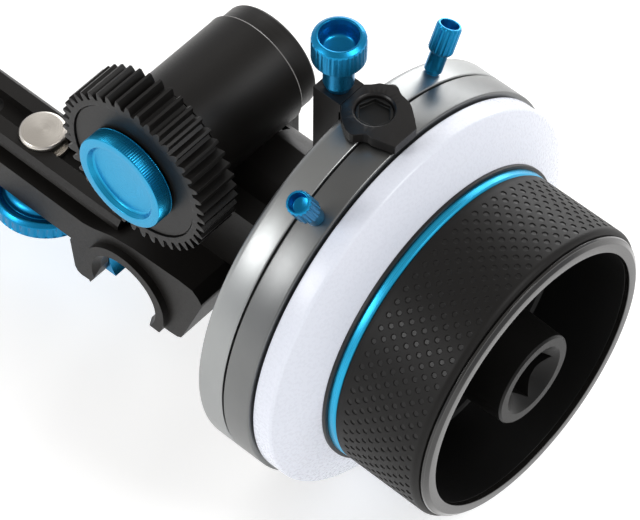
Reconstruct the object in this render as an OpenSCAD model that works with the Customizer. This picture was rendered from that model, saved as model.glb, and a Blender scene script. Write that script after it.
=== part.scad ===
// Follow focus unit for 15 mm support rods. Millimetres, Z up.
// Origin: axis of the rod seat under the gearbox, at the middle of the bridge.
// X: handwheel axis toward the operator. Y: rods and gear axis. Z: up.

/* [Rods and bridge] */
// Support rod diameter
rod_d = 15; // [12:0.1:19]
// Distance between the two rod axes
rod_spacing = 60; // [58:0.5:64]
// Width of the bridge along the rods
bridge_w = 16.6; // [14:0.2:17]
// How far the raised ring stands off the bridge face
boss_h = 1.5; // [0.5:0.1:2]

/* [Clamp] */
// Clamp knob diameter
clamp_knob_d = 23.4; // [18:0.2:24]
// Height of the clamp knob rim band
clamp_knob_h = 3.4; // [2:0.1:3.6]
// Width of the clamp bar
bar_w = 11.6; // [8:0.2:12]
// Release button diameter
button_d = 9.6; // [8:0.2:11]

/* [Drive gear] */
// Drive gear module
gear_module = 0.8; // [0.5:0.1:1]
// Drive gear tooth count
gear_teeth = 43; // [36:1:46]
// Drive gear face width
gear_w = 9; // [6:0.5:9]

/* [Handwheel] */
// Outside diameter of the two stop rings
ring_d = 83.8; // [82:0.2:84]
// Outside diameter of the marking disc
disc_d = 82.2; // [76:0.2:82.2]
// Outside diameter of the rubber grip
grip_d = 62.8; // [61:0.2:63]
// Socket size of the crank drive, across flats
socket_af = 9; // [6:0.1:10]

/* [Stop screws] */
// Head diameter of the small ring screws
ring_screw_d = 4.8; // [4:0.1:5]
// Head diameter of the stop knob
stop_knob_d = 10.1; // [8:0.1:11]

/* [Fits] */
// Radial running clearance of shafts
run_gap = 0.04; // [0.02:0.01:0.06]

/* [Hidden] */
rod_r = rod_d / 2;
mid_x = -rod_spacing / 2;
bw = bridge_w / 2;
wx = 36.2; wy = 14.2; wz = 22.4;      // wheel axis at the back of the rear ring
ox = -30.96;                          // output axis, from the wheel datum
oz = 20;                              // centre distance of the spur pair
ring_r = ring_d / 2;
disc_r = disc_d / 2;
grip_r = grip_d / 2;
drum_r = 36;
neck_r = 12.65;
gear_r = gear_module * (gear_teeth + 2) / 2;
fn = 96;

// placing helpers
module W() translate([wx, wy, wz]) children();
module revx(p) rotate([0, 90, 0]) rotate_extrude($fn = fn) polygon(p);
module cylx(r, x0, x1) translate([x0, 0, 0]) rotate([0, 90, 0]) cylinder(r = r, h = x1 - x0, $fn = fn);
module cyly(r, y0, y1) translate([0, y0, 0]) rotate([-90, 0, 0]) cylinder(r = r, h = y1 - y0, $fn = fn);
module ringx(ro, ri, x0, x1) difference() { cylx(ro, x0, x1); cylx(ri, x0 - 1, x1 + 1); }
module ringy(ro, ri, y0, y1) difference() { cyly(ro, y0, y1); cyly(ri, y0 - 1, y1 + 1); }
// extrude an (x, z) outline along Y
module xz(y0, y1) translate([0, y1, 0]) rotate([90, 0, 0]) linear_extrude(height = y1 - y0) children();
module hex_screw(hr, hh, sr, sl, af) difference() {
    union() { cylinder(r = hr, h = hh, $fn = 48); translate([0, 0, -sl]) cylinder(r = sr, h = sl + 0.2, $fn = 48); }
    translate([0, 0, hh * 0.4]) cylinder(r = af / sqrt(3), h = hh, $fn = 6);
}

// involute tooth outline
function roll(rb, r) = let(a = acos(min(1, rb / r))) tan(a) * 180 / PI - a;
function teeth(m, z, add, ded, t, n = 3) = let(rp = m * z / 2, rb = rp * cos(20), ra = rp + add, rr = rp - ded,
    r0 = max(rb, rr), h = t * 180 / z + roll(rb, rp))
    [for (k = [0:z - 1]) let(c = k * 360 / z) each concat(
        rr < rb ? [[rr * cos(c - h), rr * sin(c - h)]] : [],
        [for (i = [0:n]) let(r = r0 + (ra - r0) * i / n, a = c - h + roll(rb, r)) [r * cos(a), r * sin(a)]],
        [for (i = [n:-1:0]) let(r = r0 + (ra - r0) * i / n, a = c + h - roll(rb, r)) [r * cos(a), r * sin(a)]],
        rr < rb ? [[rr * cos(c + h), rr * sin(c + h)]] : [])];
// straight flutes round a head
function flutes(n, r, d) = [for (k = [0:n - 1]) each [for (q = [[-0.3, 0], [0.18, 0], [0.28, d], [0.6, d]])
    let(a = (k + q[0]) * 360 / n) [(r - q[1]) * cos(a), (r - q[1]) * sin(a)]]];

// half of the bridge outline, (x, z)
base_half = [[mid_x - 1, 2], [-15.4, 2], [-15.7, 1.2], [-14.8, -6.4], [-14.2, -7.5], [-13.2, -7.9], [-11.2, -7.75],
    [-10.2, -7.1], [-8.1, -3.4], [-7.4, 0], [0, 4], [5.5, -4.2], [6.5, -5.1], [10.4, -5.1], [12.6, -4.85], [13.7, -4.2],
    [14.2, -3.2], [19.45, 10.8], [19.45, 11.6], [18.6, 12.8], [17.2, 14.1], [13.8, 14.3], [7.2, 14], [1.7, 13.7],
    [-3.8, 12.7], [-6.6, 11.6], [-9.2, 10.6], [-11.8, 10], [mid_x - 1, 10]];
module base_outline() union() {
    polygon(base_half);
    translate([2 * mid_x, 0]) mirror([1, 0]) polygon(base_half);
}
module at_rods() { children(); translate([-rod_spacing, 0, 0]) children(); }

module base_clamp() color("#26221f") difference() {
    union() {
        xz(-bw, bw) base_outline();
        intersection() {
            xz(-bw - boss_h, -bw + 1) base_outline();
            at_rods() cyly(10.6, -bw - boss_h, -bw + 1);
        }
        // gearbox seat and its mirror
        for (s = [0, 1]) translate([s * 2 * mid_x, 0, 0]) mirror([s, 0, 0])
            translate([-3.6, 0.9, 9]) cube([20, bw - 0.9, 5.3]);
    }
    at_rods() {
        cyly(rod_r, -20, 20);
        translate([0, -bw - boss_h - 0.01, 0]) rotate([-90, 0, 0]) cylinder(r1 = rod_r + 0.95, r2 = rod_r, h = boss_h + 0.01, $fn = fn);
    }
    // slot for the rail between the shoulders
    translate([mid_x - 26.12, 0, 0]) rotate([90, 0, 90]) linear_extrude(height = 52.24)
        polygon([[-5.02, 10], [5.02, 10], [5.02, 11.38], [6.52, 12.38], [6.52, 15], [-6.52, 15], [-6.52, 12.38], [-5.02, 11.38]]);
    // channel for the clamp bar and open slots for its jaws
    translate([-50.1, -6.1, -10]) cube([40.2, 12.2, 16]);
    translate([-53.2, -6.1, -10]) cube([46.4, 12.2, 10.7]);
    // cradle under the gearbox neck
    translate([wx, wy, wz]) cylx(neck_r + 0.05, -27, -10);
    // insert for the clamp stud, button spring seat
    translate([mid_x, 0, 5]) cylinder(r = 4.2, h = 4.1, $fn = fn);
    // gearbox screws
    translate([-1.8, 4.5, 0]) { cylinder(r = 2.4, h = 10.5, $fn = 48); cylinder(r = 1.3, h = 20, $fn = 48); }
    translate([11, 4.5, -8]) { cylinder(r = 2.4, h = 17.5, $fn = 48); cylinder(r = 1.3, h = 30, $fn = 48); }
    // rail screw threads
    for (x = [mid_x - 14, mid_x + 14]) translate([x, 0, 6.6]) cylinder(r = 1.1, h = 6, $fn = 48);
}
rail_prof = [[-5, 10], [5, 10], [5, 11.4], [6.5, 12.4], [6.5, 13.8], [5.5, 14.8], [2.3, 14.8], [2.3, 12], [-2.3, 12],
    [-2.3, 14.8], [-5.5, 14.8], [-6.5, 13.8], [-6.5, 12.4], [-5, 11.4]];
module dovetail_rail() color("#2b2826") difference() {
    translate([mid_x - 26.1, 0, 0]) rotate([90, 0, 90]) linear_extrude(height = 52.2) polygon(rail_prof);
    translate([mid_x, 0, 9]) cylinder(r = button_d / 2 + 0.1, h = 10, $fn = fn);
    translate([mid_x, 0, 9]) cylinder(r = button_d / 2 + 0.7, h = 4.4, $fn = fn);
    for (x = [mid_x - 14, mid_x + 14]) translate([x, 0, 9]) {
        cylinder(r = 1.25, h = 6, $fn = 48);
        translate([0, 0, 1.8]) cylinder(r1 = 1.1, r2 = 2.25, h = 1.25, $fn = 48);
    }
    // foot of the gearbox seat stands against the rail ends
    for (s = [0, 1]) translate([s * 2 * mid_x, 0, 0]) mirror([s, 0, 0])
        { translate([-3.62, 0.88, 9]) cube([20, 9, 5.32]); translate([-6.82, 0.88, 14.28]) cube([20, 9, 1]); }
}
module rail_screws() color("#3a3a3c") for (x = [mid_x - 14, mid_x + 14]) translate([x, 0, 10.8]) difference() {
    union() { cylinder(r1 = 1.05, r2 = 2.15, h = 1.15, $fn = 48); translate([0, 0, -3.8]) cylinder(r = 1.1, h = 4.2, $fn = 48); }
    translate([0, 0, 0.5]) cylinder(r = 0.85, h = 2, $fn = 6);
}
module clamp_nut() color("#b08d4a") translate([mid_x, 0, 6]) difference() {
    cylinder(r = 4.2, h = 3.1, $fn = fn);
    translate([0, 0, -1]) cylinder(r = 3.06, h = 6, $fn = fn);
}
module release_button() color("#beb9af") translate([mid_x, 0, 0]) difference() {
    union() {
        translate([0, 0, 12.4]) cylinder(r = button_d / 2 + 0.6, h = 0.8, $fn = fn);
        rotate_extrude($fn = fn) polygon([[0, 12.5], [button_d / 2, 12.5], [button_d / 2, 15.3], [button_d / 2 - 0.2, 15.7],
            [button_d / 2 - 0.7, 16], [0, 16]]);
    }
    translate([0, 0, 12]) cylinder(r = 3.9, h = 2, $fn = fn);
}
module button_spring() color("#8f9092") translate([mid_x, 0, 0]) {
    for (k = [0:3]) translate([0, 0, 10 + k * 1.14]) difference() {
        cylinder(r = 3.5, h = 0.58, $fn = 64);
        translate([0, 0, -1]) cylinder(r = 2.9, h = 3, $fn = 64);
    }
    for (k = [0:2]) rotate([0, 0, k * 120]) translate([2.9, -0.3, 10.3 + k * 1.14]) cube([0.6, 0.6, 1.1]);
}
// jaw bar, (x, z)
bar_half = [[-12.6, 1], [-13, 0.4], [-13, -4.2], [-12.6, -4.6], [-6.03, -4.6], [-7.1, 0.5], [-10.4, 0.5],
    [-10.4, 4.6], [-11, 5.2]];
module clamp_bar() color("#1c8fc0") difference() {
    xz(-bar_w / 2, bar_w / 2) polygon(concat(bar_half, [for (i = [len(bar_half) - 1:-1:0]) [2 * mid_x - bar_half[i][0], bar_half[i][1]]]));
    at_rods() cyly(rod_r + 0.05, -20, 20);
    translate([mid_x, 0, 0]) cylinder(r = 3.06, h = 8, $fn = fn);
}
module clamp_knob() color("#1c8fc0") translate([mid_x, 0, 0]) difference() {
    rotate_extrude($fn = fn) polygon([[3, -4.1], [clamp_knob_d / 2 - 0.4, -4.1], [clamp_knob_d / 2, -3.7], [clamp_knob_d / 2, -4.1 + clamp_knob_h],
        [clamp_knob_d / 2 - 0.35, -0.3], [clamp_knob_d / 2 - 0.9, -0.1], [clamp_knob_d / 2 - 1.7, -0.1], [clamp_knob_d / 2 - 2.1, -0.7], [clamp_knob_d / 2 - 2.7, -0.7],
        [5.4, 0.2], [4.6, 0.95], [3, 0.95]]);
    for (k = [0:39]) rotate([0, 0, k * 9]) translate([clamp_knob_d / 2 - 0.25, -0.4, -5]) cube([1, 0.8, 3.9]);
}
module clamp_stud() color("#8f9092") translate([mid_x, 0, 0]) difference() {
    translate([0, 0, -4.1]) cylinder(r = 3, h = 13.1, $fn = fn);
    translate([0, 0, -5]) cylinder(r = 1.7, h = 3.4, $fn = 6);
}
module stud_clip() color("#5a5b5e") translate([mid_x, 0, 5.25]) difference() {
    cylinder(r = 4.3, h = 0.55, $fn = fn);
    translate([0, 0, -1]) cylinder(r = 3, h = 3, $fn = fn);
}

// gearbox, drawn from the wheel datum
module gearbox_housing() color("#2b2725") W() difference() {
    union() {
        translate([ox, 0, oz]) cyly(11.95, -13.3, 8.44);
        cylx(neck_r, -26, -1);
        translate([-43, -13.3, -8.1]) cube([38.5, 9.3, 17.7]);
        translate([-43, -13.3, -8.1]) cube([19, 21.74, 17.7]);
        translate([-43, -5.5, -12.5]) cube([19, 13.94, 10]);
        translate([-43, 8.4, -12.5]) cube([17.4, 4.9, 20.8]);
        translate([-41, -12, 5]) cube([16, 20.44, 10]);
    }
    // flat on the neck
    translate([-30, -8, 12]) cube([40, 16, 1]);
    translate([ox, 0, oz]) {
        cyly(9.5, -14, 9);
        cyly(11, 5.3, 9);
    }
    // bevel pocket, spur pocket, shaft seats
    cylx(7.2, ox - 1.5, -19.1);
    translate([ox, 0, 0]) {
        cyly(7.2, -2, 5.4);
        cyly(11, 5.3, 8.64);
        cyly(4, -12.4, 12.9);
    }
    cylx(6.5, -20, -13.5);
    cylx(6.5, -7.5, 1);
    cylx(5, -20, 1);
    // opening between the spur pair
    translate([ox - 9, 5.3, 2]) cube([18, 3.2, 14]);
    // screws
    translate([-38, -9.7, -12]) cylinder(r = 1.25, h = 10, $fn = 48);
    translate([-25.2, -9.7, -12]) cylinder(r = 1.25, h = 10, $fn = 48);
    for (p = cover_pts) translate([p[0], 0, p[1]]) cyly(1, 9.5, 14);
    // pocket of the stop post
    translate([-6.6, -2.4, 10]) cube([6.1, 6.5, 5]);
}
cover_pts = [[-40.6, -10], [-28, -10], [-40.6, 6], [-28, 6]];
module tube_end_cap() color("#2b2725") W() translate([ox, 0, oz]) difference() {
    rotate([-90, 0, 0]) rotate_extrude($fn = fn) polygon([[0, 8.44], [11.34, 8.44], [11.34, 12.92], [10.84, 13.42], [0, 13.42]]);
    cyly(6, 8, 12.5);
}
module rear_cover() color("#2b2725") W() difference() {
    translate([-43, 13.3, -12.5]) cube([17.4, 1.7, 20.8]);
    for (p = cover_pts) translate([p[0], 0, p[1]]) { cyly(1.1, 13, 16); cyly(1.95, 14.2, 16); }
}
module rear_cover_screws() color("#3a3a3c") W() for (p = cover_pts) translate([p[0], 14.2, p[1]]) rotate([-90, 0, 0])
    hex_screw(1.85, 0.8, 1, 4, 1.2);
module base_screws() color("#3a3a3c") {
    translate([-1.8, 4.5, 10.5]) rotate([180, 0, 0]) hex_screw(2.2, 2.5, 1.25, 8, 2);
    translate([11, 4.5, 9.5]) rotate([180, 0, 0]) hex_screw(2.2, 2.5, 1.25, 9, 2);
}
module output_bushes() color("#a5814a") W() translate([ox, 0, oz]) {
    ringy(9.5, 5 + run_gap, -12.9, -8);
    ringy(6, 3.5 + run_gap, 8.7, 12.4);
}
module wheel_bushes() color("#a5814a") W() {
    ringx(6.5, 4 + run_gap, -18.5, -13.5);
    ringx(6.5, 4 + run_gap, -7.5, -2.5);
}
module cross_bushes() color("#a5814a") W() translate([ox, 0, 0]) {
    ringy(4, 1.5 + run_gap, -12.4, -8.4);
    ringy(4, 1.5 + run_gap, 8.9, 12.9);
}
module wheel_shaft() color("#9a9b9d") W() difference() {
    union() { cylx(1.5, ox + 2.6, -23); cylx(4, -23.4, 0.2); cylx(5.5, 0.1, 22.35); }
    cylx(2, 10, 30);
}
bev_m = 0.6; bev_z = 16; bev_r = bev_m * bev_z / 2; bev_h = 2.25;
bev_s = (bev_r - bev_h) / bev_r;
module bevel() linear_extrude(height = bev_h, scale = bev_s) polygon(teeth(bev_m, bev_z, 0.42, 0.66, 0.40, 2));
module wheel_bevel() color("#85868a") W() difference() {
    union() {
        translate([ox + bev_r, 0, 0]) rotate([0, -90, 0]) bevel();
        cylx(4, ox + bev_r - 0.01, -23.4);
    }
    cylx(1.5, ox, -20);
}
module cross_bevel() color("#85868a") W() translate([ox, 0, 0]) difference() {
    union() {
        translate([0, bev_r, 0]) rotate([90, 0, 0]) rotate([0, 0, 180 / bev_z]) bevel();
        cyly(3.2, bev_r - 0.01, 5.7);
    }
    cyly(1.5, 0, 9);
}
module cross_shaft() color("#9a9b9d") W() translate([ox, 0, 0]) cyly(1.5, -12.2, 12.7);
module spur_y(z, y0, y1, bore) difference() {
    translate([0, y0, 0]) rotate([-90, 0, 0]) rotate([0, 0, -90]) linear_extrude(height = y1 - y0) polygon(teeth(0.8, z, 0.6, 0.9, 0.44));
    cyly(bore, y0 - 1, y1 + 1);
}
module cross_spur() color("#85868a") W() translate([ox, 0, 0]) spur_y(25, 5.7, 8.3, 1.5);
module output_pinion() color("#85868a") W() translate([ox, 0, oz]) spur_y(25, 5.7, 8.3, 3.5);
module output_shaft() color("#9a9b9d") W() translate([ox, 0, oz]) union() {
    cyly(4, -27, -24.7);
    cyly(5, -24.8, 5.6);
    cyly(8, -15.8, -14);
    cyly(3.5, 5.5, 12.2);
}
module drive_gear() color("#1b1b1c") W() translate([ox, 0, oz]) difference() {
    translate([0, -24.8, 0]) rotate([-90, 0, 0]) linear_extrude(height = gear_w) polygon(teeth(gear_module, gear_teeth, gear_module, gear_module * 1.25, 0.48));
    cyly(5, -26, 0);
    ringy(15, 14.72, -25.5, -24.5);
    ringy(14.9, 9, -17, -15);
}
module gear_nut() color("#1c8fc0") W() translate([ox, 0, oz]) difference() {
    rotate([-90, 0, 0]) rotate_extrude($fn = fn) polygon([[0, -27.3], [7.9, -27.3], [8.3, -28.1], [8.45, -28.24], [9.8, -28.24], [10.14, -27.9],
        [10.14, -25.2], [9.9, -24.85], [0, -24.85]]);
    cyly(4 + run_gap, -27.05, -24);
}

// handwheel, drawn from the wheel datum
module rotor_drum() color("#3a3a3c") W() difference() {
    union() { cylx(drum_r, 0.1, 13.45); cylx(38, 0.1, 1.1); cylx(24, 13.4, 22.35); }
    cylx(5.5, -1, 23);
    for (a = [45:90:315]) rotate([a, 0, 0]) translate([0, 0, 20]) cylx(1.55, 8, 23);
    for (a = [0:60:300]) rotate([a, 0, 0]) translate([0, 0, 29.5]) cylx(4, 3, 14);
}
module friction_washer() color("#cfcac0") W() ringx(40.4, drum_r, 6.56, 6.84);
module marking_disc() color("#eef0f4") W() revx([[24, 13.45], [disc_r - 0.3, 13.45], [disc_r, 13.75], [disc_r, 17.3], [disc_r - 0.25, 17.75],
    [32.5, 22.2], [32.3, 22.35], [24, 22.35]]);
module disc_retainer() color("#1b1b1c") W() difference() {
    union() { cylx(32.2, 22.35, 23.1); cylx(26, 23.0, 24.8); }
    cylx(2.05, 20, 30);
    for (a = [45:90:315]) rotate([a, 0, 0]) translate([0, 0, 20]) cylx(1.55, 20, 30);
}
module accent_ring() color("#1c8fc0") W() revx([[26, 23.1], [31.4, 23.1], [31.5, 23.2], [31.35, 24.7], [31.2, 24.8], [26, 24.8]]);
module handwheel() color("#1f1e1e") W() difference() {
    revx([[2.05, 24.8], [29.2, 24.8], [29.2, 42], [28.6, 42], [28.6, 44.6], [27.6, 44.6], [27.2, 28.6], [26.6, 28], [2.05, 28]]);
    for (a = [45:90:315]) rotate([a, 0, 0]) translate([0, 0, 20]) { cylx(1.55, 20, 30); cylx(3, 26.3, 30); }
    for (a = [0:120:240]) rotate([a, 0, 0]) translate([0, 0, 11.7]) cylx(1.3, 25.4, 30);
}
module rubber_grip() color("#1a1a1b") W() revx([[29.2, 24.9], [grip_r - 0.3, 24.9], [grip_r, 25.2], [grip_r, 43], [grip_r - 0.12, 43.6], [grip_r - 0.45, 44.1], [grip_r - 0.9, 44.4], [29.2, 44.4]]);
module front_rim() color("#141415") W() revx([[28.6, 42], [29.2, 42], [29.2, 44.45], [30.4, 44.45], [30.5, 44.6], [30.4, 45], [29.95, 45.45], [29.4, 45.7],
    [27.9, 45.7], [27.6, 45.4], [27.6, 44.6], [28.6, 44.6]]);
module drive_hub() color("#1f1e1e") W() difference() {
    revx([[2.05, 28], [14, 28], [14, 30.1], [13.6, 30.5], [9.4, 30.5], [8.95, 45.3], [8.6, 45.7], [2.05, 45.7]]);
    rotate([45, 0, 0]) translate([35.6, -socket_af / 2, -socket_af / 2]) cube([12, socket_af, socket_af]);
    translate([42.9, 0, 0]) rotate([0, 90, 0]) cylinder(r1 = 4.6, r2 = 7.5, h = 2.9, $fn = fn);
    cylx(4, 30.5, 36);
    for (a = [0:120:240]) rotate([a, 0, 0]) translate([0, 0, 11.7]) { cylx(1.3, 27, 32); cylx(2.1, 29.2, 32); }
}
module axle_screw() color("#3a3a3c") W() translate([30.5, 0, 0]) rotate([0, 90, 0]) hex_screw(3.5, 4, 2, 18, 3);
module handwheel_screws() color("#3a3a3c") W() for (a = [45:90:315]) rotate([a, 0, 0]) translate([26.3, 0, 20]) rotate([0, 90, 0])
    hex_screw(2.75, 1.65, 1.5, 17, 2);
module hub_screws() color("#3a3a3c") W() for (a = [0:120:240]) rotate([a, 0, 0]) translate([29.2, 0, 11.7]) rotate([0, 90, 0])
    hex_screw(2, 1.25, 1.25, 3.6, 1.5);

// hard stops
front_a = 28.3; rear_a = -26.6;
module rear_stop_ring() color("#8f9297") W() difference() {
    revx([[38.1, 0], [ring_r - 1.5, 0], [ring_r - 0.8, 0.2], [ring_r - 0.25, 0.7], [ring_r, 1.5], [ring_r, 6.2], [ring_r - 0.3, 6.5],
        [drum_r + 0.08, 6.5], [drum_r + 0.08, 1.2], [38.1, 1.2]]);
    rotate([rear_a, 0, 0]) translate([3.5, 0, 34]) cylinder(r = 1.35, h = 12, $fn = 48);
}
module front_stop_ring() color("#8f9297") W() difference() {
    revx([[drum_r + 0.08, 6.9], [ring_r - 0.3, 6.9], [ring_r, 7.2], [ring_r, 12.7], [ring_r - 0.3, 13], [drum_r + 0.08, 13]]);
    rotate([front_a, 0, 0]) translate([9.8, 0, 34]) cylinder(r = 1.35, h = 12, $fn = 48);
}
module ring_screw(neck, top) difference() {
    union() {
        translate([0, 0, 36.4]) cylinder(r = 1.3, h = 6, $fn = 48);
        rotate_extrude($fn = 48) polygon([[0, 42.2], [1.45, 42.2], [1.7, 42.5], [1.7, neck + 0.2], [0, neck + 0.2]]);
        intersection() {
            translate([0, 0, neck]) linear_extrude(height = top - neck) polygon(flutes(16, ring_screw_d / 2, 0.14));
            rotate_extrude($fn = 64) polygon([[0, neck], [ring_screw_d / 2 - 0.35, neck], [ring_screw_d / 2 + 0.1, neck + 0.45],
                [ring_screw_d / 2 + 0.1, top - 0.5], [ring_screw_d / 2 - 0.3, top], [0, top]]);
        }
    }
    translate([0, 0, top - 2.6]) cylinder(r = ring_screw_d / 2 - 0.65, h = 3, $fn = 48);
}
module rear_ring_screw() color("#1c8fc0") W() rotate([rear_a, 0, 0]) translate([3.5, 0, 0]) ring_screw(46.4, 52.3);
module front_ring_screw() color("#1c8fc0") W() rotate([front_a, 0, 0]) translate([9.8, 0, 0]) ring_screw(46.2, 52.3);
stop_x = -3.4; stop_y = 0.85;
module stop_post() color("#26221f") W() difference() {
    union() {
        translate([-6.6, -2.4, 10]) cube([6.1, 6.5, 34.3]);
        translate([-1.5, -2.4, 42.1]) cube([1.3, 6.5, 2.2]);
    }
    translate([stop_x, stop_y, 38]) cylinder(r = 1.25, h = 9, $fn = 48);
    translate([-3.22, -0.82, 42.06]) cube([3.5, 3.34, 1.2]);
}
plate_pts = [[-0.15, 4.1], [0.8, 4.95], [1.3, 5.6], [1.7, 6.15], [2.3, 6.5], [3.1, 6.95], [3.7, 7.6], [4.25, 7.8], [5, 7.6], [5.8, 7.1],
    [6.6, 6.75], [7.6, 6.6], [8.6, 6.4], [9.3, 6.1], [10.4, 5.3], [11.9, 4.1], [13.5, 2.75], [13.5, -3.1], [11.5, -3.6], [10, -4.1],
    [9, -4.38], [8.2, -4.3], [7.3, -4.65], [6.6, -5.5], [6.17, -6.05], [5.4, -6.2], [4.19, -5.95], [3.2, -5.3], [2.1, -4.65],
    [0.95, -3.6], [0.3, -2.6], [-0.15, -2.4]];
module stop_plate() color("#26221f") W() difference() {
    union() {
        translate([0, 0, 42.1]) linear_extrude(height = 2.2) polygon([for (i = [len(plate_pts) - 1:-1:0]) plate_pts[i]]);
        translate([-1.9, -0.8, 42.1]) cube([3, 3.3, 1.1]);
    }
    translate([5.1, 0.95, 40]) cylinder(r = 2.6, h = 8, $fn = 48);
    translate([5.1, 0.95, 42.45]) cylinder(r = 3.55, h = 4, $fn = fn);
    translate([5.1, 0.95, 43.9]) cylinder(r1 = 3.55, r2 = 3.95, h = 0.41, $fn = fn);
}
module stop_plate_screw() color("#232120") W() translate([5.1, 0.95, 42.15]) difference() {
    union() { cylinder(r = 2.55, h = 1, $fn = 48); translate([0, 0, 0.3]) cylinder(r = 3.5, h = 1, $fn = fn); }
    rotate([0, 0, 9]) translate([0, 0, 0.4]) cylinder(r = 3.2, h = 3, $fn = 6);
}
module stop_knob() color("#1c8fc0") W() translate([stop_x, stop_y, 0]) difference() {
    union() {
        translate([0, 0, 38.5]) cylinder(r = 1.2, h = 6, $fn = 48);
        rotate_extrude($fn = fn) polygon([[0, 44.34], [2.3, 44.34], [2.88, 45.9], [2.88, 52.2], [0, 52.2]]);
        intersection() {
            translate([0, 0, 51.9]) linear_extrude(height = 6.3) polygon(flutes(30, stop_knob_d / 2, 0.13));
            rotate_extrude($fn = fn) polygon([[0, 51.9], [stop_knob_d / 2 - 0.8, 51.9], [stop_knob_d / 2 + 0.1, 52.6], [stop_knob_d / 2 + 0.1, 57.2],
                [stop_knob_d / 2 - 0.25, 57.75], [stop_knob_d / 2 - 0.9, 58.2], [0, 58.2]]);
        }
    }
    translate([0, 0, 56.9]) cylinder(r1 = 3.45, r2 = 3.8, h = 1.31, $fn = fn);
    translate([0, 0, 55.2]) cylinder(r = 3.45, h = 2, $fn = fn);
    translate([0, 0, 53.4]) cylinder(r = 3.1, h = 3, $fn = fn);
}

base_clamp();
dovetail_rail();
rail_screws();
clamp_nut();
release_button();
button_spring();
clamp_bar();
clamp_knob();
clamp_stud();
stud_clip();
gearbox_housing();
tube_end_cap();
rear_cover();
rear_cover_screws();
base_screws();
output_bushes();
wheel_bushes();
cross_bushes();
wheel_shaft();
wheel_bevel();
cross_shaft();
cross_bevel();
cross_spur();
output_shaft();
output_pinion();
drive_gear();
gear_nut();
rotor_drum();
friction_washer();
marking_disc();
disc_retainer();
accent_ring();
handwheel();
rubber_grip();
front_rim();
drive_hub();
axle_screw();
handwheel_screws();
hub_screws();
rear_stop_ring();
rear_ring_screw();
front_stop_ring();
front_ring_screw();
stop_post();
stop_plate();
stop_plate_screw();
stop_knob();
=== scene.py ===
import bpy, bmesh, math, random
from mathutils import Matrix, Vector


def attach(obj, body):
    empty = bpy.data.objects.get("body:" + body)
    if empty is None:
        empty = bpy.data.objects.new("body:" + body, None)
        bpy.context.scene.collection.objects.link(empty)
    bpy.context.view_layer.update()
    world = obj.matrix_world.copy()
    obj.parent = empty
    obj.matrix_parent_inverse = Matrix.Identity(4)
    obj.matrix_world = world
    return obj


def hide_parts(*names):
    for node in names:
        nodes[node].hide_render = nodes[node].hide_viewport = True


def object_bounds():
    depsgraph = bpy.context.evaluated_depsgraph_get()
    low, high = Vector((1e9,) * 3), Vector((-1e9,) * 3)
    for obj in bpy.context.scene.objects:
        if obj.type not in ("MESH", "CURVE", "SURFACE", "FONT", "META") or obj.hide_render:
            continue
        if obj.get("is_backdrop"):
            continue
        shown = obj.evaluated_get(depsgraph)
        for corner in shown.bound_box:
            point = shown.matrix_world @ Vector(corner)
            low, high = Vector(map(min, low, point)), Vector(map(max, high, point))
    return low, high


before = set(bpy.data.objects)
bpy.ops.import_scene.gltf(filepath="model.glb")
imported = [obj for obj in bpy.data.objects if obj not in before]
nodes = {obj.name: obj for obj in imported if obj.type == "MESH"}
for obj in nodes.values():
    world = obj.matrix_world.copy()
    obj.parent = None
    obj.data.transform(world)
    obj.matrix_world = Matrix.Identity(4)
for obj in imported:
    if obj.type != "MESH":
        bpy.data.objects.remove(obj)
cad_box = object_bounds()
random.seed(4)

MM = 0.001
W = (36.2, 14.2, 22.4)          # wheel axis at the back of the rear ring, mm
OX, OZ = -30.96, 20.0           # gear axis from there
FRONT_A, REAR_A = 28.3, -26.6   # places of the two ring screws, degrees from +Z toward -Y


# ------------------------------------------------------------------ materials
def new_mat(name):
    m = bpy.data.materials.new(name)
    m.use_nodes = True
    nt = m.node_tree
    for n in list(nt.nodes):
        nt.nodes.remove(n)
    out = nt.nodes.new("ShaderNodeOutputMaterial")
    b = nt.nodes.new("ShaderNodeBsdfPrincipled")
    nt.links.new(b.outputs[0], out.inputs[0])
    return m, nt, b


def node(nt, kind, **kw):
    n = nt.nodes.new(kind)
    for k, v in kw.items():
        setattr(n, k, v)
    return n


def noise(nt, scale, detail=2.0, rough=0.5, stretch=None, dims="3D"):
    tc = node(nt, "ShaderNodeTexCoord")
    mp = node(nt, "ShaderNodeMapping")
    if stretch:
        mp.inputs["Scale"].default_value = stretch
    nt.links.new(tc.outputs["Object"], mp.inputs["Vector"])
    n = node(nt, "ShaderNodeTexNoise", noise_dimensions=dims)
    n.inputs["Scale"].default_value = scale
    n.inputs["Detail"].default_value = detail
    n.inputs["Roughness"].default_value = rough
    nt.links.new(mp.outputs["Vector"], n.inputs["Vector"])
    return n


def ramp(nt, src, lo, hi, a=0.3, b=0.7):
    r = node(nt, "ShaderNodeMapRange")
    r.inputs["From Min"].default_value = a
    r.inputs["From Max"].default_value = b
    r.inputs["To Min"].default_value = lo
    r.inputs["To Max"].default_value = hi
    nt.links.new(src, r.inputs["Value"])
    return r.outputs["Result"]


def mix_col(nt, fac, c1, c2):
    m = node(nt, "ShaderNodeMix", data_type="RGBA")
    m.inputs["A"].default_value = (*c1, 1)
    m.inputs["B"].default_value = (*c2, 1)
    nt.links.new(fac, m.inputs["Factor"])
    return m.outputs["Result"]


def bump(nt, b, src, strength, dist):
    n = node(nt, "ShaderNodeBump")
    n.inputs["Strength"].default_value = strength
    n.inputs["Distance"].default_value = dist
    nt.links.new(src, n.inputs["Height"])
    nt.links.new(n.outputs["Normal"], b.inputs["Normal"])


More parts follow.
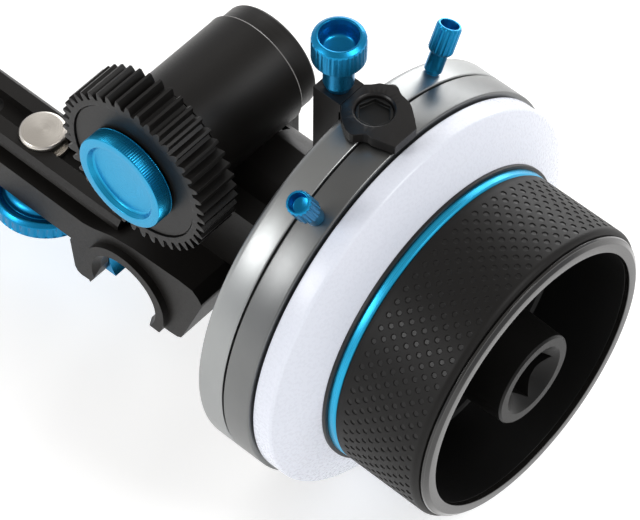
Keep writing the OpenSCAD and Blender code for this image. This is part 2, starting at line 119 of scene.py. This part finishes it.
def turned(nt, axis, centre, scale):
    """fine lathe lines: noise over the place along the axis and the distance from it"""
    tc = node(nt, "ShaderNodeTexCoord")
    sep = node(nt, "ShaderNodeSeparateXYZ")
    sub = node(nt, "ShaderNodeVectorMath", operation="SUBTRACT")
    sub.inputs[1].default_value = centre
    nt.links.new(tc.outputs["Object"], sub.inputs[0])
    nt.links.new(sub.outputs[0], sep.inputs[0])
    o = {"X": ("Y", "Z"), "Y": ("X", "Z"), "Z": ("X", "Y")}[axis]
    sq = []
    for k in o:
        p = node(nt, "ShaderNodeMath", operation="POWER")
        p.inputs[1].default_value = 2
        ab = node(nt, "ShaderNodeMath", operation="ABSOLUTE")
        nt.links.new(sep.outputs[k], ab.inputs[0])
        nt.links.new(ab.outputs[0], p.inputs[0])
        sq.append(p)
    add = node(nt, "ShaderNodeMath", operation="ADD")
    nt.links.new(sq[0].outputs[0], add.inputs[0])
    nt.links.new(sq[1].outputs[0], add.inputs[1])
    rt = node(nt, "ShaderNodeMath", operation="SQRT")
    nt.links.new(add.outputs[0], rt.inputs[0])
    s = node(nt, "ShaderNodeMath", operation="ADD")
    nt.links.new(rt.outputs[0], s.inputs[0])
    nt.links.new(sep.outputs[axis], s.inputs[1])
    n = node(nt, "ShaderNodeTexNoise", noise_dimensions="1D")
    n.inputs["Scale"].default_value = scale
    n.inputs["Detail"].default_value = 3
    nt.links.new(s.outputs[0], n.inputs["W"])
    return n.outputs["Fac"]


def anodised(name, dark, light, rough, metal=0.85, spec=0.5, grain=2600, strength=0.25):
    m, nt, b = new_mat(name)
    n = noise(nt, grain, 3, 0.6)
    big = noise(nt, 60, 3, 0.5)
    nt.links.new(mix_col(nt, ramp(nt, big.outputs["Fac"], 0, 1, 0.3, 0.7), dark, light), b.inputs["Base Color"])
    nt.links.new(ramp(nt, n.outputs["Fac"], rough - 0.05, rough + 0.06), b.inputs["Roughness"])
    b.inputs["Metallic"].default_value = metal
    b.inputs["Specular IOR Level"].default_value = spec
    bump(nt, b, n.outputs["Fac"], strength, 0.00003)
    return m


def turned_metal(name, dark, light, rough, axis, centre, metal=1.0, aniso=0.5, lines=9000, strength=0.2):
    m, nt, b = new_mat(name)
    t = turned(nt, axis, centre, lines)
    nt.links.new(mix_col(nt, ramp(nt, t, 0, 1, 0.3, 0.7), dark, light), b.inputs["Base Color"])
    nt.links.new(ramp(nt, t, rough - 0.04, rough + 0.07), b.inputs["Roughness"])
    b.inputs["Metallic"].default_value = metal
    b.inputs["Anisotropic"].default_value = aniso
    tg = node(nt, "ShaderNodeTangent", direction_type="RADIAL", axis=axis)
    nt.links.new(tg.outputs[0], b.inputs["Tangent"])
    bump(nt, b, t, strength, 0.00002)
    return m


def plastic(name, dark, light, rough, spec=0.5, grain=1500, strength=0.1, coat=0.0, coat_rough=0.1):
    m, nt, b = new_mat(name)
    n = noise(nt, grain, 3, 0.6)
    big = noise(nt, 45, 2, 0.5)
    nt.links.new(mix_col(nt, ramp(nt, big.outputs["Fac"], 0, 1), dark, light), b.inputs["Base Color"])
    nt.links.new(ramp(nt, n.outputs["Fac"], rough - 0.03, rough + 0.05), b.inputs["Roughness"])
    b.inputs["Specular IOR Level"].default_value = spec
    b.inputs["Coat Weight"].default_value = coat
    b.inputs["Coat Roughness"].default_value = coat_rough
    bump(nt, b, n.outputs["Fac"], strength, 0.00002)
    return m


WC = tuple(v * MM for v in W)
GC = ((W[0] + OX) * MM, W[1] * MM, (W[2] + OZ) * MM)
BLUE_D, BLUE_L = (0.011, 0.29, 0.52), (0.015, 0.33, 0.58)
M_BLACK = anodised("black_anodised", (0.0068, 0.0060, 0.0053), (0.0095, 0.0085, 0.0076), 0.42, metal=0.0, spec=0.25, strength=0.12)
M_HOUSING = anodised("black_housing", (0.0068, 0.0060, 0.0053), (0.0092, 0.0083, 0.0075), 0.40, metal=0.0, spec=0.26, grain=3500, strength=0.12)
M_TUBE = turned_metal("black_turned", (0.0068, 0.0061, 0.0054), (0.0094, 0.0085, 0.0077), 0.38, "Y", GC, metal=0.0, aniso=0.2, lines=3000, strength=0.05)
M_TUBE.node_tree.nodes["Principled BSDF"].inputs["Specular IOR Level"].default_value = 0.28
M_BLUE = anodised("blue_anodised", (0.008, 0.225, 0.46), (0.011, 0.26, 0.52), 0.31, metal=0.92, grain=5000, strength=0.03)
M_BLUE_X = turned_metal("blue_turned_x", (0.014, 0.36, 0.62), (0.018, 0.40, 0.68), 0.30, "X", WC, metal=0.7, aniso=0.2, lines=9000, strength=0.03)
M_BLUE_GEAR = turned_metal("blue_turned_gear", (0.012, 0.31, 0.56), (0.016, 0.35, 0.62), 0.29, "Y", GC, metal=0.85, aniso=0.2, lines=9000, strength=0.03)
M_RING = anodised("ring_metal", (0.31, 0.32, 0.32), (0.35, 0.36, 0.36), 0.36, metal=1.0, grain=9000, strength=0.35)
M_RING_F = anodised("ring_metal_dark", (0.160, 0.165, 0.165), (0.188, 0.192, 0.192), 0.36, metal=1.0, grain=9000, strength=0.35)
M_WHITE = plastic("white_plastic", (0.74, 0.775, 0.86), (0.76, 0.79, 0.875), 0.27, 0.45, strength=0.004)
M_RUBBER = plastic("rubber", (0.0088, 0.0083, 0.0079), (0.0112, 0.0106, 0.0101), 0.47, 0.17, grain=5000, strength=0.15)
M_PIT = plastic("rubber_pit", (0.0085, 0.0082, 0.0080), (0.0105, 0.0100, 0.0097), 0.36, 0.28, grain=3000, strength=0.05)
M_GLOSS = plastic("gloss_black", (0.0075, 0.0070, 0.0065), (0.0095, 0.0089, 0.0083), 0.15, 0.52, strength=0.01, coat=0.3, coat_rough=0.08)
M_CUP = plastic("cup_black", (0.0018, 0.0018, 0.0017), (0.0026, 0.0025, 0.0024), 0.45, 0.28, grain=2500, strength=0.05)
M_HUB = plastic("hub_black", (0.0036, 0.0034, 0.0032), (0.0048, 0.0046, 0.0043), 0.38, 0.2, grain=2500, strength=0.05)
M_ACETAL = plastic("black_acetal", (0.0078, 0.0073, 0.0069), (0.0100, 0.0094, 0.0089), 0.40, 0.24, grain=2500, strength=0.06)
M_DARK = plastic("black_plastic", (0.006, 0.006, 0.006), (0.008, 0.008, 0.008), 0.45, 0.4)
M_STEEL = turned_metal("dark_steel", (0.05, 0.05, 0.05), (0.08, 0.08, 0.08), 0.35, "Z", (0, 0, 0), aniso=0.0, lines=4000)
M_STOP = anodised("black_stop", (0.0060, 0.0052, 0.0050), (0.0080, 0.0072, 0.0068), 0.33, metal=0.0, spec=0.34, strength=0.015)
M_PLUG = plastic("blackened_steel", (0.0035, 0.0035, 0.0033), (0.005, 0.005, 0.0047), 0.34, 0.3, strength=0.05)
M_NICKEL = turned_metal("nickel", (0.68, 0.645, 0.59), (0.76, 0.72, 0.66), 0.30, "Z", (-0.03, 0, 0), aniso=0.4, lines=12000, strength=0.3)
M_BRIGHT = turned_metal("steel", (0.42, 0.42, 0.43), (0.52, 0.52, 0.53), 0.3, "X", WC, lines=6000)
M_BRASS = turned_metal("brass", (0.50, 0.34, 0.13), (0.62, 0.44, 0.20), 0.32, "Y", GC, lines=6000)
M_FIBRE = plastic("fibre", (0.50, 0.48, 0.44), (0.58, 0.56, 0.52), 0.7, 0.3)
M_DRUM = turned_metal("dark_aluminium", (0.06, 0.06, 0.06), (0.09, 0.09, 0.09), 0.35, "X", WC)

CAD_MATS = {}
for n in ("base_clamp", "dovetail_rail", "stop_post", "stop_plate", "rear_cover"):
    CAD_MATS[n] = M_BLACK
for n in ("gearbox_housing",):
    CAD_MATS[n] = M_HOUSING
CAD_MATS["tube_end_cap"] = M_TUBE
for n in ("rail_screws", "rear_cover_screws", "base_screws", "axle_screw", "handwheel_screws", "hub_screws", "stop_plate_screw", "stud_clip"):
    CAD_MATS[n] = M_STEEL
for n in ("clamp_nut", "output_bushes", "wheel_bushes", "cross_bushes"):
    CAD_MATS[n] = M_BRASS
for n in ("clamp_stud", "button_spring", "wheel_shaft", "wheel_bevel", "cross_shaft", "cross_bevel", "cross_spur", "output_shaft", "output_pinion"):
    CAD_MATS[n] = M_BRIGHT
for n in ("clamp_bar", "clamp_knob", "rear_ring_screw", "front_ring_screw", "stop_knob"):
    CAD_MATS[n] = M_BLUE
CAD_MATS["stop_plate_screw"] = M_PLUG
CAD_MATS.update(gear_nut=M_BLUE_GEAR, accent_ring=M_BLUE_X, rear_stop_ring=M_RING, front_stop_ring=M_RING_F, marking_disc=M_WHITE, rubber_grip=M_RUBBER,
                front_rim=M_GLOSS, handwheel=M_CUP, drive_hub=M_HUB, drive_gear=M_ACETAL, disc_retainer=M_DARK, release_button=M_NICKEL,
                friction_washer=M_FIBRE, rotor_drum=M_DRUM)
for n, o in nodes.items():
    o.data.materials.clear()
    o.data.materials.append(CAD_MATS[n])


# ------------------------------------------------------------------ mesh tools
def finish_mesh(name, bm, mat, body, reps=(), sharp=33.0, smooth=True):
    bmesh.ops.remove_doubles(bm, verts=bm.verts, dist=2e-7)
    bmesh.ops.recalc_face_normals(bm, faces=bm.faces)
    for f in bm.faces:
        f.smooth = smooth
    lim = math.radians(sharp)
    for e in bm.edges:
        if len(e.link_faces) == 2:
            e.smooth = e.calc_face_angle(0) < lim
    me = bpy.data.meshes.new(name)
    bm.to_mesh(me)
    bm.free()
    me.materials.append(mat)
    o = bpy.data.objects.new(name, me)
    bpy.context.scene.collection.objects.link(o)
    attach(o, body)
    if reps:
        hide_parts(*reps)
    return o


def rounded(pts, n=4):
    """pts: (r, a) or (r, a, radius). Rounds the corners that have a radius."""
    out = []
    N = len(pts)
    for i, p in enumerate(pts):
        rad = p[2] if len(p) > 2 else 0
        if not rad:
            out.append((p[0], p[1]))
            continue
        P = Vector(p[:2])
        A, B = Vector(pts[i - 1][:2]), Vector(pts[(i + 1) % N][:2])
        u, v = (A - P), (B - P)
        lu, lv = u.length, v.length
        u.normalize(); v.normalize()
        ang = u.angle(v)
        d = min(rad / math.tan(ang / 2), 0.49 * lu, 0.49 * lv)
        rr = d * math.tan(ang / 2)
        c = P + (u + v).normalized() * (rr / math.sin(ang / 2))
        s, e = P + u * d - c, P + v * d - c
        tot = s.angle(e)
        sgn = 1 if s.x * e.y - s.y * e.x > 0 else -1
        for k in range(n + 1):
            t = sgn * tot * k / n
            out.append((c.x + s.x * math.cos(t) - s.y * math.sin(t), c.y + s.x * math.sin(t) + s.y * math.cos(t)))
    return out


def place(axis, r, a, t, c):
    if axis == "X":
        q = (a, r * math.cos(t), r * math.sin(t))
    elif axis == "Y":
        q = (r * math.sin(t), a, r * math.cos(t))
    else:
        q = (r * math.cos(t), r * math.sin(t), a)
    return ((c[0] + q[0]) * MM, (c[1] + q[1]) * MM, (c[2] + q[2]) * MM)


def lathe_bm(prof, axis, c, seg=192, closed=True, bm=None, rot=None):
    bm = bm or bmesh.new()
    rings = []
    for r, a in prof:
        if r < 1e-6:
            rings.append([bm.verts.new(place(axis, 0, a, 0, c))])
        else:
            rings.append([bm.verts.new(place(axis, r, a, 2 * math.pi * k / seg, c)) for k in range(seg)])
    if rot is not None:
        for g in rings:
            for v in g:
                v.co = rot @ v.co
    pairs = list(zip(rings, rings[1:] + rings[:1])) if closed else list(zip(rings, rings[1:]))
    for A, B in pairs:
        if len(A) == 1 and len(B) == 1:
            continue
        for k in range(seg):
            k2 = (k + 1) % seg
            if len(A) == 1:
                bm.faces.new((A[0], B[k], B[k2]))
            elif len(B) == 1:
                bm.faces.new((A[k], B[0], A[k2]))
            else:
                bm.faces.new((A[k], B[k], B[k2], A[k2]))
    return bm


def lathe(name, prof, axis, c, mat, body, reps=(), seg=256, closed=True, slot=None, n=4, sharp=33.0):
    return finish_mesh(name, lathe_bm(rounded(prof, n), axis, c, seg, closed), mat, body, reps, sharp)


def wheel_lathe(name, prof, mat, body="handwheel", reps=(), seg=360, **kw):
    return lathe(name, prof, "X", W, mat, body, reps, seg, **kw)


def edged(node_name, width, body, mat=None, angle=28.0, segs=2, shape=None):
    """the CAD node's own shape with its sharp edges broken"""
    src = nodes[node_name]
    bm = bmesh.new()
    bm.from_mesh(src.data)
    if shape:
        for q in bm.verts:
            q.co = shape(q.co)
    bmesh.ops.remove_doubles(bm, verts=bm.verts, dist=1e-6)
    bmesh.ops.dissolve_limit(bm, angle_limit=math.radians(0.8), verts=bm.verts, edges=bm.edges, delimit={"NORMAL"})
    for f in bm.faces:
        f.smooth = True
    me = bpy.data.meshes.new(node_name + "_look")
    bm.to_mesh(me)
    bm.free()
    o = bpy.data.objects.new(node_name + "_look", me)
    bpy.context.scene.collection.objects.link(o)
    bev = o.modifiers.new("edge", "BEVEL")
    bev.width = width * MM
    bev.segments = segs
    bev.limit_method = "ANGLE"
    bev.angle_limit = math.radians(angle)
    bev.use_clamp_overlap = True
    bev.harden_normals = False
    tri = o.modifiers.new("tri", "TRIANGULATE")
    tri.min_vertices = 5
    wn_ = o.modifiers.new("normals", "WEIGHTED_NORMAL")
    wn_.mode = "FACE_AREA"
    wn_.weight = 80
    wn_.keep_sharp = True
    dg = bpy.context.evaluated_depsgraph_get()
    me2 = bpy.data.meshes.new_from_object(o.evaluated_get(dg), preserve_all_data_layers=True, depsgraph=dg)
    o.modifiers.clear()
    o.data = me2
    me2.materials.clear()
    me2.materials.append(mat or CAD_MATS[node_name])
    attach(o, body)
    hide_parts(node_name)
    return o


def mod_lathe(name, prof, axis, c, mat, body, reps, seg, mod, closed=True, rot=None, n=4, sharp=33.0):
    """a lathe piece whose radius is changed round the circle by mod(k, r, a)"""
    prof = rounded(prof, n)
    bm = bmesh.new()
    rings = []
    for r, a in prof:
        if r < 1e-6:
            rings.append([bm.verts.new(place(axis, 0, a, 0, c))])
        else:
            rings.append([bm.verts.new(place(axis, mod(k, r, a), a, 2 * math.pi * k / seg, c)) for k in range(seg)])
    pairs = list(zip(rings, rings[1:] + rings[:1])) if closed else list(zip(rings, rings[1:]))
    for A, B in pairs:
        for k in range(seg):
            k2 = (k + 1) % seg
            if len(A) == 1 and len(B) == 1:
                break
            if len(A) == 1:
                bm.faces.new((A[0], B[k], B[k2]))
            elif len(B) == 1:
                bm.faces.new((A[k], B[0], A[k2]))
            else:
                bm.faces.new((A[k], B[k], B[k2], A[k2]))
    if rot is not None:
        bmesh.ops.transform(bm, matrix=rot, verts=bm.verts)
    return finish_mesh(name, bm, mat, body, reps, sharp)


def steps(seg_per, pattern):
    """radius drop round the circle, repeating pattern over seg_per steps"""
    return lambda k: pattern[k % seg_per]


# ------------------------------------------------------------------ handwheel and rings
wheel_lathe("rear_ring_look", [(38.1, 0), (41.9, 0, 1.6), (41.9, 6.5, 0.3), (36.08, 6.5), (36.08, 1.2), (38.1, 1.2)], M_RING,
            "rear_stop_ring", ["rear_stop_ring"])
wheel_lathe("front_ring_look", [(36.08, 6.9), (41.9, 6.9, 0.3), (41.9, 13, 0.35), (36.08, 13)], M_RING_F, "front_stop_ring", ["front_stop_ring"])
wheel_lathe("marking_disc_look", [(24, 13.45), (41.1, 13.45, 0.3), (41.1, 17.75, 0.8), (32.2, 22.35, 0.35), (24, 22.35)], M_WHITE, reps=["marking_disc"])
wheel_lathe("disc_retainer_look", [(2.05, 22.35), (32.2, 22.35, 0.12), (32.2, 23.1, 0.12), (26, 23.1), (26, 24.8), (2.05, 24.8)], M_DARK, reps=["disc_retainer"])
wheel_lathe("accent_ring_look", [(26, 23.1), (31.5, 23.1, 0.12), (31.42, 24.45, 0.05), (31.1, 24.8, 0.08), (26, 24.8)], M_BLUE_X, reps=["accent_ring"])
wheel_lathe("front_rim_look", [(28.6, 42), (29.2, 42), (29.2, 44.46), (30.2, 44.46, 0.05), (30.5, 44.62, 0.1), (30.36, 45.05, 0.12), (30.15, 45.15, 0.1), (29.5, 45.7, 0.35),
                               (27.6, 45.7, 0.12), (27.6, 44.6), (28.6, 44.6)], M_GLOSS, reps=["front_rim"], n=6)


def dimpled_grip():
    """rubber sleeve with rows of small flat-bottomed pits"""
    R, per, rows, x_first, pitch = 31.4, 71, 11, 27.35, 1.48
    S, side, hole, deep, deg0 = 8, 3, 0.56, 0.2, 24.7
    bm = bmesh.new()
    step = 2 * math.pi / per

    def pt(x, t, r):
        return ((W[0] + x) * MM, (W[1] - r * math.sin(t)) * MM, (W[2] + r * math.cos(t)) * MM)

    t_ref = math.radians(deg0)
    for row in range(rows):
        xc = x_first + row * pitch
        off = 0.0 if (row % 2 == 0) else 0.5
        for k in range(per):
            tc = t_ref + (k + off) * step
            loop = []
            hx, ht = pitch / 2, step / 2
            for i in range(S):
                loop.append((-hx, -ht + step * i / S))
            for i in range(side):
                loop.append((-hx + pitch * i / side, ht))
            for i in range(S):
                loop.append((hx, ht - step * i / S))
            for i in range(side):
                loop.append((hx - pitch * i / side, -ht))
            outer = [bm.verts.new(pt(xc + dx, tc + dt, R)) for dx, dt in loop]
            ringsv = []
            for rad, dr in ((hole + 0.12, 0.0), (hole + 0.05, 0.0), (hole + 0.01, 0.025), (hole - 0.02, 0.08), (hole - 0.05, deep - 0.03), (hole - 0.1, deep), (hole - 0.16, deep)):
                rv = []
                for q in range(len(loop)):
                    dx, dt = loop[q]
                    a = math.atan2(dt * R, dx)
                    rv.append(bm.verts.new(pt(xc + rad * math.cos(a), tc + rad * math.sin(a) / R, R - dr)))
                ringsv.append(rv)
            n = len(outer)
            prev = outer
            for rv in ringsv:
                for i in range(n):
                    j = (i + 1) % n
                    f = bm.faces.new((prev[i], prev[j], rv[j], rv[i]))
                    if rv is ringsv[-1]:
                        f.material_index = 1
                prev = rv
            bm.faces.new(prev).material_index = 1
    # plain bands on both sides, the rolled front shoulder, the ends and the inside
    seg = per * S
    x0, x1 = x_first - pitch / 2, x_first + (rows - 0.5) * pitch
    g = [(R, x1), (R, x1 + 0.06)]
    cx, cr, rr_ = 43.0, R - 1.35, 1.35
    for i in range(9):
        t = math.pi / 2 * i / 9
        g.append((cr + rr_ * math.cos(t), cx + rr_ * math.sin(t)))
    g = [q for q in g if q[1] <= 44.4]
    g += [(30.55, 44.4), (29.2, 44.4), (29.2, 24.9), (R - 0.3, 24.9), (R - 0.1, 24.97), (R, 25.15), (R, x0 - 0.06), (R, x0)]
    off = 0.5 if (rows - 1) % 2 else 0.0
    rr = [[bm.verts.new(pt(a, t_ref + (k * step / S) + step / 2, r)) for k in range(seg)] for r, a in g]
    for A, B in zip(rr, rr[1:]):
        for k in range(seg):
            k2 = (k + 1) % seg
            bm.faces.new((A[k], A[k2], B[k2], B[k]))
    bmesh.ops.remove_doubles(bm, verts=bm.verts, dist=3e-6)
    o = finish_mesh("grip_look", bm, M_RUBBER, "handwheel", ["rubber_grip"], 35.0)
    o.data.materials.append(M_PIT)
    return o


dimpled_grip()
edged("handwheel", 0.12, "handwheel", M_CUP)


def hub_shape(q):
    """a slightly fuller hub"""
    x, dy, dz = q.x / MM - W[0], q.y / MM - W[1], q.z / MM - W[2]
    rad = math.hypot(dy, dz)
    if x < 31 or rad < 8.3:
        return q
    k = 1.075
    return Vector((q.x, (W[1] + dy * k) * MM, (W[2] + dz * k) * MM))


edged("drive_hub", 0.2, "handwheel", M_HUB, shape=hub_shape)

# ------------------------------------------------------------------ blue parts
KN = [0, 0.03, 0.2, 0.2]
mod_lathe("gear_nut_look", [(0, -27.25), (7.55, -27.25, 0.6), (8.15, -28.5, 0.12), (10.14, -28.5, 0.3), (10.14, -24.92, 0.25), (4.05, -24.9), (4.05, -27.05), (0, -27.05)],
          "Y", (W[0] + OX, W[1], W[2] + OZ), M_BLUE_GEAR, "gear_nut", ["gear_nut"], 512,
          lambda k, r, a: r - (KN[k % 4] if r > 9.9 and -28.4 < a < -25.1 else 0), closed=False, n=5)


def flute(per, depth):
    """round-bottomed grooves with flat lands"""
    out = []
    for i in range(per):
        t = i / per
        out.append(depth * max(0.0, math.sin(math.pi * (t - 0.35) / 0.65)) if t > 0.35 else 0.0)
    return out


FL = flute(10, 0.14)
kc = (W[0] - 3.4, W[1] + 0.85, W[2])
mod_lathe("stop_knob_look", [(0, 44.34), (2.3, 44.34, 0.05), (2.88, 45.9, 0.12), (2.88, 51.92, 0.1), (4.3, 51.92, 0.3), (5.05, 52.6, 0.2), (5.05, 57.15, 0.2),
                             (4.9, 57.6, 0.15), (4.1, 58.2, 0.25), (3.75, 58.1, 0.1), (3.45, 57.0, 0.1), (3.45, 55.5, 0.5), (3.1, 54.4, 0.9), (0, 53.9)],
          "Z", kc, M_BLUE, "stop_knob", ["stop_knob"], 300,
          lambda k, r, a: r - (FL[k % 10] if r > 4.98 and 52.7 < a < 57.3 else 0), closed=False, n=4)


def ring_screw_look(name, body, node_name, x, ang, neck, top):
    F = flute(9, 0.17)
    rot = Matrix.Translation(Vector(W) * MM) @ Matrix.Rotation(math.radians(ang), 4, "X") @ Matrix.Translation(-Vector(W) * MM)
    h = 2.4
    mod_lathe(name, [(0, 36.4), (1.3, 36.4), (1.3, 42.2), (1.45, 42.2), (1.7, 42.5, 0.1), (1.7, neck, 0.1), (h - 0.35, neck, 0.1), (h, neck + 0.5, 0.15), (h, top - 0.5, 0.15),
                     (h - 0.25, top, 0.1), (1.8, top, 0.08), (1.75, top - 2.4, 0.3), (0, top - 2.6)],
              "Z", (W[0] + x, W[1], W[2]), M_BLUE, body, [node_name], 144,
              lambda k, r, a: r - (F[k % 9] if r > h - 0.12 and neck + 0.35 < a < top - 0.3 else 0), closed=False, rot=rot, n=3)


ring_screw_look("front_screw_look", "front_ring_screw", "front_ring_screw", 9.8, FRONT_A, 46.2, 52.3)
ring_screw_look("rear_screw_look", "rear_ring_screw", "rear_ring_screw", 3.5, REAR_A, 46.4, 52.3)

ck = (-30.0, 0.0, 0.0)
CN = flute(8, 0.22)
mod_lathe("clamp_knob_look", [(3.0, -4.1), (11.7, -4.1, 0.4), (11.7, -0.9, 0.6), (10.9, -0.1, 0.6), (10.2, -0.1, 0.35), (9.6, -1.2, 0.3), (9.0, -1.2, 0.2)]
          + [(6.2 + 2.7 * math.cos(math.radians(q)), -1.1 + 1.9 * math.sin(math.radians(q))) for q in range(8, 91, 6)] + [(4.7, 0.82), (4.6, 0.95), (3.0, 0.95)], "Z", ck, M_BLUE, "clamp_knob", ["clamp_knob"], 320,
          lambda k, r, a: r - (CN[k % 8] if r > 11.5 and -3.8 < a < -1.1 else 0), n=5)
edged("clamp_bar", 0.35, "clamp_bar", M_BLUE)

# ------------------------------------------------------------------ black parts
lathe("button_look", [(0, 14.0), (3.9, 14.0), (3.9, 12.4), (5.4, 12.4), (5.4, 13.2), (4.8, 13.2), (4.8, 16.0, 0.8), (0, 16.0)], "Z", ck, M_NICKEL, "release_button",
      ["release_button"], 128, closed=False, n=5)
edged("base_clamp", 0.22, "base", M_BLACK)
edged("dovetail_rail", 0.12, "base", M_BLACK)
edged("gearbox_housing", 0.3, "base", M_HOUSING)
lathe("tube_cap_look", [(0, 8.44), (11.34, 8.44), (11.34, 13.42, 0.7), (0, 13.42)], "Y", (W[0] + OX, W[1], W[2] + OZ), M_TUBE, "base", ["tube_end_cap"], 192, closed=False, n=5)
# painted highlight: a thin ring of light grey material at the tube's edge stands in for the light line of the edge
# highlight
M_PAINTED_EDGE_HIGHLIGHT = plastic("painted_edge_highlight", (0.13, 0.125, 0.12), (0.16, 0.155, 0.15), 0.3, 0.5)
lathe("tube_edge_painted_highlight", [(11.2, 8.24), (11.88, 8.24), (12.0, 8.42), (11.88, 8.62), (11.2, 8.62)], "Y", (W[0] + OX, W[1], W[2] + OZ), M_PAINTED_EDGE_HIGHLIGHT, "base", [], 192)
edged("stop_post", 0.3, "base", M_STOP)
edged("stop_plate", 0.1, "base", M_STOP, angle=9.0)
edged("stop_plate_screw", 0.1, "base", M_PLUG)


def gear_face(q):
    """the middle of the front face is sunk a little"""
    y = q.y / MM - W[1]
    rad = math.hypot(q.x / MM - W[0] - OX, q.z / MM - W[2] - OZ)
    if rad < 14.86 and -25.6 < y < -24.6:
        return Vector((q.x, (W[1] - 24.45) * MM, q.z))
    if 14.6 < rad < 15.02 and -24.6 < y < -24.45:
        return Vector((q.x, (W[1] - 23.9) * MM, q.z))
    return q


edged("drive_gear", 0.1, "output", M_ACETAL, shape=gear_face)
edged("rear_cover", 0.25, "base", M_BLACK)

# ------------------------------------------------------------------ floor, light, camera
fm, fnt, fb = new_mat("floor")
fb.inputs["Base Color"].default_value = (0.93, 0.93, 0.925, 1)
fb.inputs["Roughness"].default_value = 0.6
fb.inputs["Specular IOR Level"].default_value = 0.2
fb.inputs["Emission Color"].default_value = (1, 1, 1, 1)
fb.inputs["Emission Strength"].default_value = 0.36
low = cad_box[0][2] if not isinstance(cad_box, dict) else -0.02
me = bpy.data.meshes.new("floor")
s = 3.0
me.from_pydata([(-s, -s, low - 0.0003), (s, -s, low - 0.0003), (s, s, low - 0.0003), (-s, s, low - 0.0003)], [], [(0, 1, 2, 3)])
me.materials.append(fm)
floor = bpy.data.objects.new("floor", me)
bpy.context.scene.collection.objects.link(floor)
floor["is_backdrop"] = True

world = bpy.data.worlds.new("studio")
bpy.context.scene.world = world
world.use_nodes = True
wn = world.node_tree
for n in list(wn.nodes):
    wn.nodes.remove(n)
wo = wn.nodes.new("ShaderNodeOutputWorld")
bg = wn.nodes.new("ShaderNodeBackground")
tc = wn.nodes.new("ShaderNodeTexCoord")
sp = wn.nodes.new("ShaderNodeSeparateXYZ")
cr = wn.nodes.new("ShaderNodeValToRGB")
cr.color_ramp.elements[0].position = 0.0
cr.color_ramp.elements[0].color = (0.90, 0.91, 0.95, 1)
cr.color_ramp.elements[1].position = 0.75
cr.color_ramp.elements[1].color = (0.60, 0.58, 0.56, 1)
wn.links.new(tc.outputs["Generated"], sp.inputs[0])
wn.links.new(sp.outputs["Z"], cr.inputs[0])
wn.links.new(cr.outputs[0], bg.inputs["Color"])
bg.inputs["Strength"].default_value = 0.8
wn.links.new(bg.outputs[0], wo.inputs[0])


def softbox(name, loc, target, size, power, size_y=None, col=(1, 1, 1)):
    l = bpy.data.lights.new(name, "AREA")
    l.shape = "RECTANGLE"
    l.size = size
    l.size_y = size_y or size
    l.energy = power
    l.color = col
    o = bpy.data.objects.new(name, l)
    o.location = loc
    d = Vector(target) - Vector(loc)
    o.rotation_euler = d.to_track_quat("-Z", "Y").to_euler()
    bpy.context.scene.collection.objects.link(o)
    o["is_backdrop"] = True
    return o


T = (0.03, 0.01, 0.02)
softbox("key_front", (T[0] - 0.397, T[1] - 0.75, T[2] + 0.53), T, 0.3, 2.9, 0.3)
softbox("key_right", (T[0] + 0.58, T[1] + 0.22, T[2] + 0.78), T, 0.4, 3.7, 0.4)
softbox("key_top", (T[0] - 0.40, T[1] + 0.78, T[2] + 0.49), T, 0.42, 1.7, 0.3)
softbox("back_strip", (T[0] - 0.42, T[1] + 0.95, T[2] + 0.16), T, 0.7, 3.0, 0.22)

ROWS = ((0.7464718, 0.6654003, 0.0047231), (0.5341920, -0.5950148, -0.6004967), (-0.3967604, 0.4507769, -0.7996133))
TT = (5.0754, -2.3777, 723.657)
eye = [W[j] - sum(ROWS[i][j] * TT[i] for i in range(3)) for j in range(3)]
cam_data = bpy.data.cameras.new("camera")
cam_data.sensor_width = 36
cam_data.lens = 3854.389 / 640 * 36
cam_data.clip_start = 0.02
cam = bpy.data.objects.new("camera", cam_data)
right, down, fwd = (Vector(r).normalized() for r in ROWS)
m = Matrix((( right.x, -down.x, -fwd.x, eye[0] * MM), (right.y, -down.y, -fwd.y, eye[1] * MM), (right.z, -down.z, -fwd.z, eye[2] * MM), (0, 0, 0, 1)))
cam.matrix_world = m
bpy.context.scene.collection.objects.link(cam)
bpy.context.scene.camera = cam
bpy.context.scene.view_settings.view_transform = "Standard"
bpy.context.scene.view_settings.look = "None"


def plain(v):
    if isinstance(v, dict):
        return {k: plain(x) for k, x in v.items()}
    if isinstance(v, Vector):
        return [float(x) for x in v]
    if hasattr(v, "__iter__") and not isinstance(v, str):
        return [plain(x) for x in v]
    return float(v) if isinstance(v, (int, float)) else str(v)


{"cad": plain(cad_box), "visual": plain(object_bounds())}
